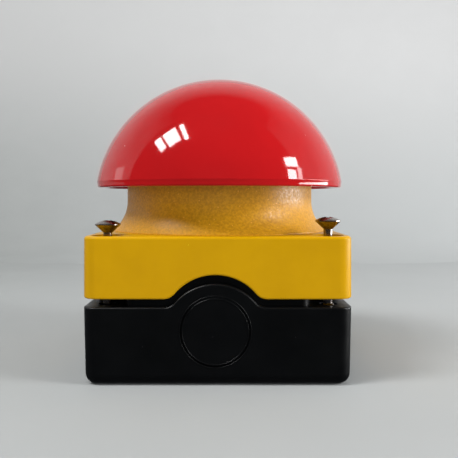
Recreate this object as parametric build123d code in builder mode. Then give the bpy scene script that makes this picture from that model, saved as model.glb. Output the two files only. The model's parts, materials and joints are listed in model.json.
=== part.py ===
from build123d import *
import math
import os

# Emergency stop button: a red mushroom dome on a yellow collar and cover, over a square black base.
#
# Frame: the origin is the centre of the base's underside and +Z is up. The front wall faces -Y.
# Millimetres. The cover is modelled LIFT above its closed height, with its four screws backed out,
# so every height of the cover, the collar, the latch and the button already includes LIFT.

os.makedirs("parts", exist_ok=True)

BOTTOM = (Align.CENTER, Align.CENTER, Align.MIN)
TOP = (Align.CENTER, Align.CENTER, Align.MAX)

# ---- Driving dimensions: box -------------------------------------------------------------------
BOX = 86.7                  # side of the square box at its shoulder
BOX_CORNER_R = 4.5          # upright corners
BASE_DRAFT = 1.3            # degrees, inwards going down
BASE_FOOT_ROUND = 3.6       # edge round the underside
PARTING_ROUND = 0.6         # edges that face each other across the gap
COVER_EDGE_ROUND = 1.0
SHOULDER_Z = 25.1           # top of the base's outer wall
FLOOR = 3.0
SKIRT = 1.8                 # thickness of the cover's skirt
SLIP = 0.15                 # gap between the skirt and the lip inside it
LIP = 1.5                   # thickness of the base's sealing lip
LIP_RISE = 4.0              # height of the lip above the shoulder
NOTCH = 11.7                # side of the square step in each corner of the seal's outline
SEAL_CORNER_R = 3.0
GASKET_RISE = 4.1           # underside of the gasket above the shoulder, cover closed
GASKET_H = 2.0
LIFT = 2.6                  # how far the cover stands off the base
COVER_H = 20.0
COVER_PLATE = 3.0

# ---- Cable entry and its arch ------------------------------------------------------------------
ENTRY_X = -0.7              # the knock-out and its arch sit a little left of the middle
ENTRY_Z = 17.3              # centre of the knock-out
ARCH_Z = 15.7               # the arch over it is flatter, with a lower centre
ARCH_R = 16.95
ARCH_FILLET = 4.5
KNOCKOUT_R = 11.45          # outside of the thin ring
KNOCKOUT_DISC_R = 10.6
KNOCKOUT_GROOVE = 1.3
KNOCKOUT_RECESS_R = 12.5    # thinned from inside
KNOCKOUT_RECESS = 1.2
EJECTOR_R = 1.2             # two shallow round marks, low on the disc
EJECTOR_AT = (4.2, 6.4)
EJECTOR_DEPTH = 0.35

# ---- Mounting and cover screws -----------------------------------------------------------------
MOUNT_X = 64.0
MOUNT_Y = 40.0
MOUNT_HOLE_R = 2.25
MOUNT_RING = 2.2            # width and height of the raised ring round each hole
MOUNT_RING_H = 0.8
SCREW_XY = 36.3             # cover screws, from both centre lines
SCREW_HEAD_R = 4.2
SCREW_HEAD_RAISE = 1.2
SCREW_SHANK_R = 1.475       # waisted, so that the screw is captive
SCREW_THREAD_R = 2.0
SCREW_THREAD = 5.2
SCREW_LENGTH = 32.25        # from the head's widest edge to the tip
SCREW_PITCH = 0.7
SCREW_HOLE_R = 1.8          # neck that holds the thread captive
SCREW_WELL_R = 2.35         # clearance round the thread
SCREW_WELL = 2.5            # depth of that clearance in the cover, up to the neck
SCREW_SINK_R = 5.25         # shallow round seat in the cover
SCREW_SINK = 0.6
INSERT_R = 3.0
INSERT_BORE_R = 2.08
INSERT_Z = 12.7
INSERT_H = 7.0
SCREW_BLIND_Z = 10.2         # bottom of the blind hole under each insert
# How far the widest edge of each head stands above the cover.
SCREW_STANDS = {
    "front_left": (-1, -1, 3.6),
    "front_right": (1, -1, 4.75),
    "rear_left": (-1, 1, 4.2),
    "rear_right": (1, 1, 3.9),
}

# ---- Small screws inside -----------------------------------------------------------------------
SMALL_SHANK_R = 1.3         # also the radius of the holes that they cut their thread in
SMALL_CLEARANCE_R = 1.6
SMALL_BITE = 2.4            # depth of those holes in a thin wall
TERMINAL_SCREW_R = 1.2

# ---- Collar ------------------------------------------------------------------------------------
CENTRE_HOLE_R = 8.0         # through the cover, for the stem
COLLAR_R = 35.7
COLLAR_WALL = 2.5
COLLAR_TOP = 25.0           # above the cover
COLLAR_KINK = 10.3          # where the flared foot meets the cylinder
COLLAR_WAIST = (37.2, 4.8)  # radius and height of a point on the flare
COLLAR_FOOT_R = 40.75
COLLAR_FOOT_EDGE = 0.3
COLLAR_BOSS_AT = 27.0       # radius of the ring of screw bosses
COLLAR_BOSS_R = 3.5
COLLAR_BOSS_H = 10.0
COLLAR_TOP_ROUND = 1.5
COLLAR_WEB = (8.0, 2.0)     # joins each boss to the wall
COLLAR_SEAL_R = 36.0        # mid line of the gasket under the foot
COLLAR_SEAL_W = 2.6
COLLAR_SEAL_H = 1.0

# ---- Dome --------------------------------------------------------------------------------------
DOME_R = 47.8
DOME_CENTRE_Z = 57.8
DOME_WALL = 3.0
DOME_EDGE_Z = 66.0          # crisp edge over the rim band
DOME_RIM_Z = 63.8
DOME_RIM_R = 46.8
DOME_MOUTH_R = 43.4
DOME_HUB_R = 10.5
DOME_HUB_Z = 84.7
DOME_RIB = 2.0
DOME_RIB_Z = 85.2
DOME_INSERT_R = 6.0
DOME_RIM_ROUND = 0.7
DOME_EDGE_ROUND = 0.25
LOCK_NUT_AF = 13.0
PRESS = 5.0                 # stroke of the button

# ---- Stem, guide and latch ---------------------------------------------------------------------
STEM_R = 6.0
STEM_END_R = 4.0
STEM_CONE_Z = 56.7          # bottom of the cone that spreads the latch sliders
STEM_CONE_SLOPE = 0.2
STEM_SHOULDER_Z = 80.7
STEM_THREAD_TOP = 96.7
STEM_TAPPED_R = 2.0
STEM_TAPPED = 9.0
PUSHER_W = 10.0
PUSHER_BOSS_R = 5.6
RUNNING = 0.05              # radial clearance of a running fit
CLIP_Z = 46.5
CLIP_H = 1.0
CLIP_GROOVE_R = 3.5
CLIP_R = 6.4
LATCH_R = 17.0
LATCH_GUIDE = 4.0
LATCH_BORE_R = 6.5
LATCH_SLOT_Z = 56.7
LATCH_SLOT_H = 4.1
LATCH_SLOT_W = 6.1
LATCH_SLOT_END = 15.5
LATCH_LID = 1.5
LATCH_SCREW_Y = 12.5
SLIDER_GAP = 0.08
SLIDER_END = 9.5
SLIDER_POCKET_R = 1.4
SLIDER_POCKET = 3.0
BUSH_R = 9.0
BUSH_Z = 65.7
BUSH_FLANGE_R = 12.0
BUSH_FLANGE = 1.5
SEAL_R = 8.0
SEAL_H = 2.7

# ---- Contacts ----------------------------------------------------------------------------------
CARRIER_X = 50.0
CARRIER_Y = 40.0
CARRIER_Z = 5.7
CARRIER_H = 2.0
CARRIER_SCREWS = (43.0, 33.0)
CARRIER_BOSS_R = 3.5
CARRIER_SCREW_HOLE = 4.2    # its depth in the boss
CARRIER_RAIL = 1.2          # width of the rails beside each block
CARRIER_RAIL_H = 1.5
BLOCK_X = 10.0              # centre of each contact block, left and right of the stem
BLOCK_W = 12.0
BLOCK_L = 36.0
BLOCK_TOP = 25.7
BLOCK_WALL = 1.5
CHAMBER_L = 24.0
PLUNGER_R = 2.4
PLUNGER_NECK_R = 1.5        # where the bridge sits
PLUNGER_SPIGOT_R = 1.3      # inside the spring
PLUNGER_TOP = 31.2
BRIDGE_Z = 17.85
BRIDGE_H = 0.8
BRIDGE_L = 20.0
BRIDGE_W = 4.0
TIP_Y = 8.0
TIP_R = 1.4
TIP_H = 0.5
TIP_GAP = 0.05              # what is left between closed contacts
STRIP_H = 1.0
STRIP_W = 5.0
STRIP_INNER_Y = 6.0
TERMINAL_Y = 15.7
TERMINAL_THREAD = 2.4       # depth of its hole under the strip
CLAMP_X = 6.0
CLAMP_Y = 4.2
CLAMP_H = 0.8

# ---- Derived heights ---------------------------------------------------------------------------
COVER_Z = SHOULDER_Z + LIFT
COVER_TOP_Z = COVER_Z + COVER_H
ARCH_TOP_Z = ARCH_Z + ARCH_R
LIP_HALF = BOX / 2 - SKIRT - SLIP
CAVITY_HALF = LIP_HALF - LIP
SKIRT_HALF = BOX / 2 - SKIRT
COVER_CAVITY_HALF = CAVITY_HALF - SLIP
COLLAR_TOP_Z = COVER_TOP_Z + COLLAR_TOP
COLLAR_ROOF_Z = COLLAR_TOP_Z - COLLAR_WALL
LATCH_LID_Z = LATCH_SLOT_Z + LATCH_SLOT_H
BLOCK_Z = CARRIER_Z + CARRIER_H
CHAMBER_Z = BLOCK_Z + BLOCK_WALL
PUSHER_Z = PLUNGER_TOP + LIFT + 0.1
PUSHER_H = 3.0
SCREW_XYS = [(x * SCREW_XY, y * SCREW_XY) for x, y, stand in SCREW_STANDS.values()]


def save(part, label):
    """Names a finished piece and writes it."""
    part.label = label
    export_step(part, f"parts/{label}.step")


def seal_outline(outline, half):
    """Draws a square whose corners step inwards, past the cover screws."""
    Rectangle(2 * half, 2 * half)
    with GridLocations(2 * half, 2 * half, 2, 2):
        Rectangle(2 * NOTCH, 2 * NOTCH, mode=Mode.SUBTRACT)
    fillet(outline.vertices(), SEAL_CORNER_R)


def under_shoulder(line, rise, lift=0.0, gap=0.0):
    """Draws, on an X-Z sketch, all that lies under the shoulder line and the arch over the entry.

    rise offsets the line outwards, as the lip and the gasket do, and lift moves all of it up.
    """
    Rectangle(2 * BOX, 2 * (SHOULDER_Z + rise + lift))
    with Locations((ENTRY_X, ARCH_Z + lift)):
        Circle(ARCH_R + rise + gap)
    corners = line.vertices().filter_by(lambda v: abs(v.X) < BOX / 2)
    fillet(corners, ARCH_FILLET)


def pan_screw(head_r, head_h, shank_r, length):
    """Makes a slotted pan-head screw that sits on Z = 0, with its shank running down."""
    with BuildPart() as screw:
        Cylinder(head_r, head_h, align=BOTTOM)
        rim = screw.edges().group_by(Axis.Z)[-1]
        fillet(rim, head_h * 0.45)
        with Locations((0, 0, head_h)):
            Box(2 * head_r, head_r * 0.3, head_h, mode=Mode.SUBTRACT)
        Cylinder(shank_r, length, align=TOP)
        tip = screw.edges().group_by(Axis.Z)[0]
        chamfer(tip, shank_r * 0.4)
    return screw.part


def coil_spring(base, axis, length, mean_r, wire_r, turns):
    """Makes a coil spring with plain ends that stands on base along axis."""
    foot = Vector(base) + Vector(axis) * wire_r
    rise = length - 2 * wire_r
    with BuildPart() as coil:
        with BuildLine() as path:
            Helix(rise / turns, rise, mean_r, center=foot, direction=axis)
        with BuildSketch(Plane(origin=path.line @ 0, z_dir=path.line % 0)):
            Circle(wire_r)
        sweep(is_frenet=True)
    return coil.part


# ---- Base shell --------------------------------------------------------------------------------
# The lip stands inside the shoulder and follows the arch, so that one gasket seals all round.
with BuildPart() as lip:
    with BuildSketch(Plane.XY.offset(FLOOR)) as lip_plan:
        seal_outline(lip_plan, LIP_HALF)
    extrude(amount=BOX / 2)
    with BuildSketch(Plane.XZ) as lip_line:
        under_shoulder(lip_line, LIP_RISE)
    extrude(amount=BOX, both=True, mode=Mode.INTERSECT)

with BuildPart() as base_shell:
    # The drafted block is drawn at the top of its arch and grows smaller going down.
    draft_slope = math.tan(math.radians(BASE_DRAFT))
    block_side = BOX + 2 * (ARCH_TOP_Z - SHOULDER_Z) * draft_slope
    with BuildSketch(Plane(origin=(0, 0, ARCH_TOP_Z), z_dir=(0, 0, -1))):
        RectangleRounded(block_side, block_side, BOX_CORNER_R)
    extrude(amount=ARCH_TOP_Z, taper=BASE_DRAFT)
    with BuildSketch(Plane.XZ) as shoulder_line:
        under_shoulder(shoulder_line, 0)
    extrude(amount=BOX, both=True, mode=Mode.INTERSECT)
    fillet(base_shell.edges().group_by(Axis.Z)[0], BASE_FOOT_ROUND)
    shoulder_edges = base_shell.edges().filter_by(
        lambda e: e.bounding_box().min.Z > SHOULDER_Z - 0.1
        and max(abs(e.center().X), abs(e.center().Y)) > SKIRT_HALF
    )
    fillet(shoulder_edges, PARTING_ROUND)
    add(lip.part)
    with BuildSketch(Plane.XY.offset(FLOOR)) as cavity_plan:
        seal_outline(cavity_plan, CAVITY_HALF)
    extrude(amount=BOX, mode=Mode.SUBTRACT)
    # Corner wells: a blind hole, then the pocket that the thread insert is pressed down.
    with Locations(*[(x, y, INSERT_Z) for x, y in SCREW_XYS]):
        Cylinder(INSERT_R, BOX, align=BOTTOM, mode=Mode.SUBTRACT)
        Cylinder(SCREW_WELL_R, INSERT_Z - SCREW_BLIND_Z, align=TOP, mode=Mode.SUBTRACT)
    # Cable entries in the front and rear walls: a thin ring outside and a round recess inside.
    for facing in (-1, 1):
        outside = Plane(origin=(ENTRY_X, facing * BOX / 2, ENTRY_Z), x_dir=(1, 0, 0), z_dir=(0, facing, 0))
        with BuildSketch(outside):
            Circle(KNOCKOUT_R)
            Circle(KNOCKOUT_DISC_R, mode=Mode.SUBTRACT)
        extrude(amount=-KNOCKOUT_GROOVE, mode=Mode.SUBTRACT)
        mark_x, mark_drop = EJECTOR_AT
        with BuildSketch(outside):
            with Locations((-mark_x, facing * mark_drop), (mark_x, facing * mark_drop)):
                Circle(EJECTOR_R)
        extrude(amount=-EJECTOR_DEPTH, mode=Mode.SUBTRACT)
        inside = Plane(origin=(ENTRY_X, facing * CAVITY_HALF, ENTRY_Z), x_dir=(1, 0, 0), z_dir=(0, facing, 0))
        with BuildSketch(inside):
            Circle(KNOCKOUT_RECESS_R)
        extrude(amount=KNOCKOUT_RECESS, mode=Mode.SUBTRACT)
    # Bosses for the contact carrier, and the raised rings of the mounting holes.
    with BuildSketch(Plane.XY.offset(FLOOR)):
        with GridLocations(*CARRIER_SCREWS, 2, 2):
            Circle(CARRIER_BOSS_R)
    extrude(amount=CARRIER_Z - FLOOR)
    with BuildSketch(Plane.XY.offset(FLOOR)):
        with GridLocations(MOUNT_X, MOUNT_Y, 2, 2):
            Circle(MOUNT_HOLE_R + MOUNT_RING)
    extrude(amount=MOUNT_RING_H)
    with BuildSketch():
        with GridLocations(MOUNT_X, MOUNT_Y, 2, 2):
            Circle(MOUNT_HOLE_R)
    extrude(amount=FLOOR + MOUNT_RING_H, mode=Mode.SUBTRACT)
    with BuildSketch(Plane.XY.offset(CARRIER_Z)):
        with GridLocations(*CARRIER_SCREWS, 2, 2):
            Circle(SMALL_SHANK_R)
    extrude(amount=-CARRIER_SCREW_HOLE, mode=Mode.SUBTRACT)
save(base_shell.part, "base_shell")

# ---- Thread inserts ----------------------------------------------------------------------------
# Each brass bush has a waist that the plastic grips.
with BuildPart() as thread_inserts:
    with BuildSketch(Plane.XY.offset(INSERT_Z)):
        with Locations(*SCREW_XYS):
            Circle(INSERT_R)
    extrude(amount=INSERT_H)
    with BuildSketch(Plane.XY.offset(INSERT_Z + INSERT_H * 0.4)):
        with Locations(*SCREW_XYS):
            Circle(INSERT_R + 1)
            Circle(INSERT_R - 0.35, mode=Mode.SUBTRACT)
    extrude(amount=INSERT_H * 0.2, mode=Mode.SUBTRACT)
    with BuildSketch(Plane.XY.offset(INSERT_Z)):
        with Locations(*SCREW_XYS):
            Circle(INSERT_BORE_R)
    extrude(amount=INSERT_H, mode=Mode.SUBTRACT)
save(thread_inserts.part, "thread_inserts")

# ---- Contact carrier ---------------------------------------------------------------------------
# A plate on the base's bosses, with two rails beside each contact block.
with BuildPart() as contact_carrier:
    with BuildSketch(Plane.XY.offset(CARRIER_Z)):
        RectangleRounded(CARRIER_X, CARRIER_Y, 3)
        with GridLocations(*CARRIER_SCREWS, 2, 2):
            Circle(SMALL_SHANK_R, mode=Mode.SUBTRACT)
    extrude(amount=CARRIER_H)
    for block in (-BLOCK_X, BLOCK_X):
        with BuildSketch(Plane.XY.offset(BLOCK_Z)):
            with Locations((block, 0)):
                with GridLocations(BLOCK_W + CARRIER_RAIL, 0, 2, 1):
                    Rectangle(CARRIER_RAIL, BLOCK_L - 8)
        extrude(amount=CARRIER_RAIL_H)
save(contact_carrier.part, "contact_carrier")

carrier_screw = pan_screw(2.4, 1.4, SMALL_SHANK_R, CARRIER_H + 3.0)
with BuildPart() as carrier_screws:
    with Locations(Plane.XY.offset(BLOCK_Z)):
        with GridLocations(*CARRIER_SCREWS, 2, 2):
            add(carrier_screw)
save(carrier_screws.part, "carrier_screws")

# ---- Contact blocks ----------------------------------------------------------------------------
# Both blocks are alike but for the height of their fixed contacts. The normally closed block has
# them above its bridge, and the normally open block has them below it, one stroke away.
tip_top_z = BRIDGE_Z + BRIDGE_H + TIP_H
closed_strip_z = tip_top_z + TIP_GAP + TIP_H
open_strip_z = BRIDGE_Z - TIP_H - TIP_GAP - PRESS - TIP_H - STRIP_H

contacts = {"nc": (-BLOCK_X, closed_strip_z, -1), "no": (BLOCK_X, open_strip_z, 1)}
terminal_screw_places = []
clamp_places = []

for kind, (block_x, strip_z, tip_side) in contacts.items():
    # Housing: a closed chamber in the middle and an open terminal pocket at each end.
    with BuildPart() as housing:
        with BuildSketch(Plane.XY.offset(BLOCK_Z)):
            with Locations((block_x, 0)):
                Rectangle(BLOCK_W, BLOCK_L)
        extrude(amount=BLOCK_TOP - BLOCK_Z)
        fillet(housing.edges().filter_by(Axis.Z), 0.5)
        with BuildSketch(Plane.XY.offset(CHAMBER_Z)):
            with Locations((block_x, 0)):
                Rectangle(BLOCK_W - 2 * BLOCK_WALL, CHAMBER_L)
        extrude(amount=BLOCK_TOP - CHAMBER_Z - BLOCK_WALL, mode=Mode.SUBTRACT)
        pocket_l = (BLOCK_L - CHAMBER_L) / 2 - 1.2
        for end in (-1, 1):
            with BuildSketch(Plane.XY.offset(strip_z)):
                with Locations((block_x, end * (BLOCK_L - pocket_l) / 2)):
                    Rectangle(BLOCK_W - 2 * BLOCK_WALL, pocket_l)
            extrude(amount=BLOCK_TOP, mode=Mode.SUBTRACT)
        # The slots that hold the fixed contacts, the terminal threads, and the plunger's hole.
        with BuildSketch(Plane.XY.offset(strip_z)):
            with Locations((block_x, 0)):
                Rectangle(STRIP_W, BLOCK_L)
        extrude(amount=STRIP_H, mode=Mode.SUBTRACT)
        with BuildSketch(Plane.XY.offset(strip_z)):
            with Locations((block_x, 0)):
                with GridLocations(0, 2 * TERMINAL_Y, 1, 2):
                    Circle(TERMINAL_SCREW_R)
        extrude(amount=-TERMINAL_THREAD, mode=Mode.SUBTRACT)
        with BuildSketch(Plane.XY.offset(BLOCK_TOP)):
            with Locations((block_x, 0)):
                Circle(PLUNGER_R + RUNNING)
        extrude(amount=-BLOCK_WALL - 0.1, mode=Mode.SUBTRACT)
    save(housing.part, f"{kind}_contact_housing")

    # Fixed contacts: two strips with a round tip that faces the bridge.
    strip_l = BLOCK_L / 2 - STRIP_INNER_Y
    with BuildPart() as fixed:
        with BuildSketch(Plane.XY.offset(strip_z)):
            with Locations((block_x, 0)):
                with GridLocations(0, 2 * STRIP_INNER_Y + strip_l, 1, 2):
                    Rectangle(STRIP_W, strip_l)
                with GridLocations(0, 2 * TERMINAL_Y, 1, 2):
                    Circle(TERMINAL_SCREW_R, mode=Mode.SUBTRACT)
        extrude(amount=STRIP_H)
        tip_z = strip_z + STRIP_H if tip_side > 0 else strip_z - TIP_H
        with BuildSketch(Plane.XY.offset(tip_z)):
            with Locations((block_x, 0)):
                with GridLocations(0, 2 * TIP_Y, 1, 2):
                    Circle(TIP_R)
        extrude(amount=TIP_H)
    save(fixed.part, f"{kind}_fixed_contacts")

    # Plunger: guided by the roof, with a neck for the bridge and a spigot inside its spring.
    flange_r = PLUNGER_R + 0.8
    flange_z = BRIDGE_Z - 1.15
    spigot_z = CHAMBER_Z + PRESS + 0.5
    with BuildPart() as plunger:
        with BuildSketch(Plane.XZ) as plunger_profile:
            with BuildLine():
                Polyline(
                    (0, spigot_z),
                    (PLUNGER_SPIGOT_R, spigot_z),
                    (PLUNGER_SPIGOT_R, flange_z),
                    (flange_r, flange_z),
                    (flange_r, BRIDGE_Z),
                    (PLUNGER_NECK_R, BRIDGE_Z),
                    (PLUNGER_NECK_R, BRIDGE_Z + BRIDGE_H),
                    (PLUNGER_R, BRIDGE_Z + BRIDGE_H),
                    (PLUNGER_R, PLUNGER_TOP - 0.6),
                    (PLUNGER_R - 0.6, PLUNGER_TOP),
                    (0, PLUNGER_TOP),
                    close=True,
                )
            make_face()
        revolve(axis=Axis.Z)
    save(plunger.part.moved(Location((block_x, 0, 0))), f"{kind}_plunger")

    # Bridge: a strip across the chamber with a contact tip near each end.
    with BuildPart() as bridge:
        with BuildSketch(Plane.XY.offset(BRIDGE_Z)):
            with Locations((block_x, 0)):
                SlotOverall(BRIDGE_L, BRIDGE_W, rotation=90)
                Circle(PLUNGER_NECK_R, mode=Mode.SUBTRACT)
        extrude(amount=BRIDGE_H)
        bridge_tip_z = BRIDGE_Z + BRIDGE_H if tip_side < 0 else BRIDGE_Z - TIP_H
        with BuildSketch(Plane.XY.offset(bridge_tip_z)):
            with Locations((block_x, 0)):
                with GridLocations(0, 2 * TIP_Y, 1, 2):
                    Circle(TIP_R)
        extrude(amount=TIP_H)
    save(bridge.part, f"{kind}_bridge")

    contact_spring = coil_spring((block_x, 0, CHAMBER_Z), (0, 0, 1), flange_z - CHAMBER_Z, 2.2, 0.22, 5)
    save(contact_spring, f"{kind}_contact_spring")

    for end in (-1, 1):
        clamp_places.append((block_x, end * TERMINAL_Y, strip_z + STRIP_H))
        terminal_screw_places.append((block_x, end * TERMINAL_Y, strip_z + STRIP_H + CLAMP_H))

with BuildPart() as terminal_clamps:
    with Locations(*clamp_places):
        Box(CLAMP_X, CLAMP_Y, CLAMP_H, align=BOTTOM)
        Cylinder(TERMINAL_SCREW_R, CLAMP_H, align=BOTTOM, mode=Mode.SUBTRACT)
save(terminal_clamps.part, "terminal_clamps")

terminal_screw = pan_screw(2.0, 1.5, TERMINAL_SCREW_R, STRIP_H + CLAMP_H + 2.2)
with BuildPart() as terminal_screws:
    with Locations(*terminal_screw_places):
        add(terminal_screw)
save(terminal_screws.part, "terminal_screws")

# ---- Cover shell -------------------------------------------------------------------------------
# The groove behind the skirt follows the lip over the arch, and its blind end holds the gasket.
gasket_top = GASKET_RISE + GASKET_H
with BuildPart() as cover_groove:
    with BuildSketch(Plane.XY.offset(COVER_Z)) as groove_plan:
        seal_outline(groove_plan, SKIRT_HALF)
    extrude(amount=COVER_H)
    with BuildSketch(Plane.XZ) as groove_line:
        under_shoulder(groove_line, gasket_top, LIFT)
    extrude(amount=BOX, both=True, mode=Mode.INTERSECT)

with BuildPart() as cover_shell:
    with BuildSketch(Plane.XY.offset(COVER_Z)):
        RectangleRounded(BOX, BOX, BOX_CORNER_R)
    extrude(amount=COVER_H)
    fillet(cover_shell.edges().group_by(Axis.Z)[-1], COVER_EDGE_ROUND)
    with BuildSketch(Plane.XZ) as arch_line:
        under_shoulder(arch_line, 0, LIFT, SLIP)
    extrude(amount=BOX, both=True, mode=Mode.SUBTRACT)
    skirt_edges = cover_shell.edges().filter_by(
        lambda e: e.bounding_box().max.Z < COVER_Z + ARCH_R
        and max(abs(e.center().X), abs(e.center().Y)) > SKIRT_HALF
        and e.geom_type != GeomType.LINE
        or abs(e.center().Z - COVER_Z) < 0.01
    )
    fillet(skirt_edges, PARTING_ROUND)
    add(cover_groove.part, mode=Mode.SUBTRACT)
    with BuildSketch(Plane.XY.offset(COVER_Z)) as hollow_plan:
        seal_outline(hollow_plan, COVER_CAVITY_HALF)
    extrude(amount=COVER_H - COVER_PLATE, mode=Mode.SUBTRACT)
    # Screw columns: a round seat, a countersink, the neck, and a well round the thread.
    sink_z = COVER_TOP_Z - SCREW_SINK
    cone_h = SCREW_HEAD_R - SCREW_SHANK_R
    with Locations(*[(x, y, COVER_TOP_Z) for x, y in SCREW_XYS]):
        Cylinder(SCREW_SINK_R, SCREW_SINK, align=TOP, mode=Mode.SUBTRACT)
        Cylinder(SCREW_HOLE_R, COVER_H, align=TOP, mode=Mode.SUBTRACT)
    with Locations(*[(x, y, sink_z) for x, y in SCREW_XYS]):
        Cone(SCREW_HOLE_R, SCREW_HEAD_R + 0.3, cone_h, align=TOP, mode=Mode.SUBTRACT)
    with Locations(*[(x, y, COVER_Z) for x, y in SCREW_XYS]):
        Cylinder(SCREW_WELL_R, SCREW_WELL, align=BOTTOM, mode=Mode.SUBTRACT)
    # Centre hole, collar screw holes and the two blind holes of the latch screws.
    with BuildSketch(Plane.XY.offset(COVER_TOP_Z)):
        Circle(CENTRE_HOLE_R)
        with PolarLocations(COLLAR_BOSS_AT, 4, start_angle=45):
            Circle(SMALL_CLEARANCE_R)
    extrude(amount=-COVER_PLATE, mode=Mode.SUBTRACT)
    with BuildSketch(Plane.XY.offset(COVER_TOP_Z)):
        with GridLocations(0, 2 * LATCH_SCREW_Y, 1, 2):
            Circle(SMALL_SHANK_R)
    extrude(amount=-SMALL_BITE, mode=Mode.SUBTRACT)
save(cover_shell.part, "cover_shell")

# ---- Cover gasket ------------------------------------------------------------------------------
with BuildPart() as gasket_below:
    with BuildSketch(Plane.XZ) as gasket_line:
        under_shoulder(gasket_line, GASKET_RISE, LIFT)
    extrude(amount=BOX, both=True)

with BuildPart() as cover_gasket:
    add(cover_groove.part)
    add(gasket_below.part, mode=Mode.SUBTRACT)
    with BuildSketch(Plane.XY.offset(COVER_Z)) as gasket_hollow:
        seal_outline(gasket_hollow, COVER_CAVITY_HALF)
    extrude(amount=COVER_H, mode=Mode.SUBTRACT)
save(cover_gasket.part, "cover_gasket")

# ---- Collar ------------------------------------------------------------------------------------
# A cylinder on a flared foot, roofed inside the dome, with four bosses for screws from below.
collar_inner_r = COLLAR_R - COLLAR_WALL
kink = (COLLAR_R, COVER_TOP_Z + COLLAR_KINK)
waist = (COLLAR_WAIST[0], COVER_TOP_Z + COLLAR_WAIST[1])
foot = (COLLAR_FOOT_R, COVER_TOP_Z + COLLAR_FOOT_EDGE)
round_start = (COLLAR_R - COLLAR_TOP_ROUND, COLLAR_TOP_Z)
round_end = (COLLAR_R, COLLAR_TOP_Z - COLLAR_TOP_ROUND)
with BuildPart() as collar:
    with BuildSketch(Plane.XZ):
        with BuildLine():
            Polyline(
                foot,
                (COLLAR_FOOT_R, COVER_TOP_Z),
                (collar_inner_r, COVER_TOP_Z),
                (collar_inner_r, COLLAR_ROOF_Z),
                (BUSH_R, COLLAR_ROOF_Z),
                (BUSH_R, COLLAR_TOP_Z),
                round_start,
            )
            RadiusArc(round_start, round_end, COLLAR_TOP_ROUND)
            Line(round_end, kink)
            ThreePointArc(kink, waist, foot)
        make_face()
    revolve(axis=Axis.Z)
    with BuildSketch(Plane.XY.offset(COVER_TOP_Z)):
        with PolarLocations(COLLAR_BOSS_AT, 4, start_angle=45):
            Circle(COLLAR_BOSS_R)
        with PolarLocations(COLLAR_BOSS_AT + COLLAR_BOSS_R, 4, start_angle=45):
            Rectangle(*COLLAR_WEB)
    extrude(amount=COLLAR_BOSS_H)
    # Screw holes up into the bosses, and the groove of the collar gasket.
    with BuildSketch(Plane.XY.offset(COVER_TOP_Z)):
        with PolarLocations(COLLAR_BOSS_AT, 4, start_angle=45):
            Circle(SMALL_SHANK_R)
    extrude(amount=COLLAR_BOSS_H - 1.5, mode=Mode.SUBTRACT)
    with BuildSketch(Plane.XY.offset(COVER_TOP_Z)):
        Circle(COLLAR_SEAL_R + COLLAR_SEAL_W / 2)
        Circle(COLLAR_SEAL_R - COLLAR_SEAL_W / 2, mode=Mode.SUBTRACT)
    extrude(amount=COLLAR_SEAL_H, mode=Mode.SUBTRACT)
save(collar.part, "collar")

with BuildPart() as collar_gasket:
    with BuildSketch(Plane.XY.offset(COVER_TOP_Z)):
        Circle(COLLAR_SEAL_R + COLLAR_SEAL_W / 2)
        Circle(COLLAR_SEAL_R - COLLAR_SEAL_W / 2, mode=Mode.SUBTRACT)
    extrude(amount=COLLAR_SEAL_H)
save(collar_gasket.part, "collar_gasket")

collar_screw = pan_screw(3.0, 1.8, SMALL_SHANK_R, COVER_PLATE + 7.0)
with BuildPart() as collar_screws:
    with Locations(Plane(origin=(0, 0, COVER_TOP_Z - COVER_PLATE), z_dir=(0, 0, -1))):
        with PolarLocations(COLLAR_BOSS_AT, 4, start_angle=45):
            add(collar_screw)
save(collar_screws.part, "collar_screws")

# ---- Latch -------------------------------------------------------------------------------------
# A round housing inside the collar. Its slot guides two sliders that the stem's cone spreads.
with BuildPart() as latch_housing:
    with BuildSketch(Plane.XY.offset(COVER_TOP_Z)):
        Circle(LATCH_R)
        Circle(STEM_END_R + RUNNING, mode=Mode.SUBTRACT)
        with GridLocations(0, 2 * LATCH_SCREW_Y, 1, 2):
            Circle(SMALL_CLEARANCE_R, mode=Mode.SUBTRACT)
    extrude(amount=LATCH_LID_Z - COVER_TOP_Z)
    with BuildSketch(Plane.XY.offset(COVER_TOP_Z + LATCH_GUIDE)):
        Circle(LATCH_BORE_R)
    extrude(amount=COVER_H, mode=Mode.SUBTRACT)
    with BuildSketch(Plane.XY.offset(LATCH_SLOT_Z)):
        Rectangle(2 * LATCH_SLOT_END, LATCH_SLOT_W)
    extrude(amount=COVER_H, mode=Mode.SUBTRACT)
save(latch_housing.part, "latch_housing")

with BuildPart() as latch_lid:
    with BuildSketch(Plane.XY.offset(LATCH_LID_Z)):
        Circle(LATCH_R)
        Circle(LATCH_BORE_R, mode=Mode.SUBTRACT)
        with GridLocations(0, 2 * LATCH_SCREW_Y, 1, 2):
            Circle(SMALL_CLEARANCE_R, mode=Mode.SUBTRACT)
    extrude(amount=LATCH_LID)
    fillet(latch_lid.edges().group_by(Axis.Z)[-1].filter_by(lambda e: e.radius > LATCH_R - 1), 0.5)
save(latch_lid.part, "latch_lid")

latch_screw = pan_screw(2.8, 1.8, SMALL_SHANK_R, LATCH_LID_Z + LATCH_LID - COVER_TOP_Z + 2.2)
with BuildPart() as latch_screws:
    with Locations(Plane.XY.offset(LATCH_LID_Z + LATCH_LID)):
        with GridLocations(0, 2 * LATCH_SCREW_Y, 1, 2):
            add(latch_screw)
save(latch_screws.part, "latch_screws")

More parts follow.
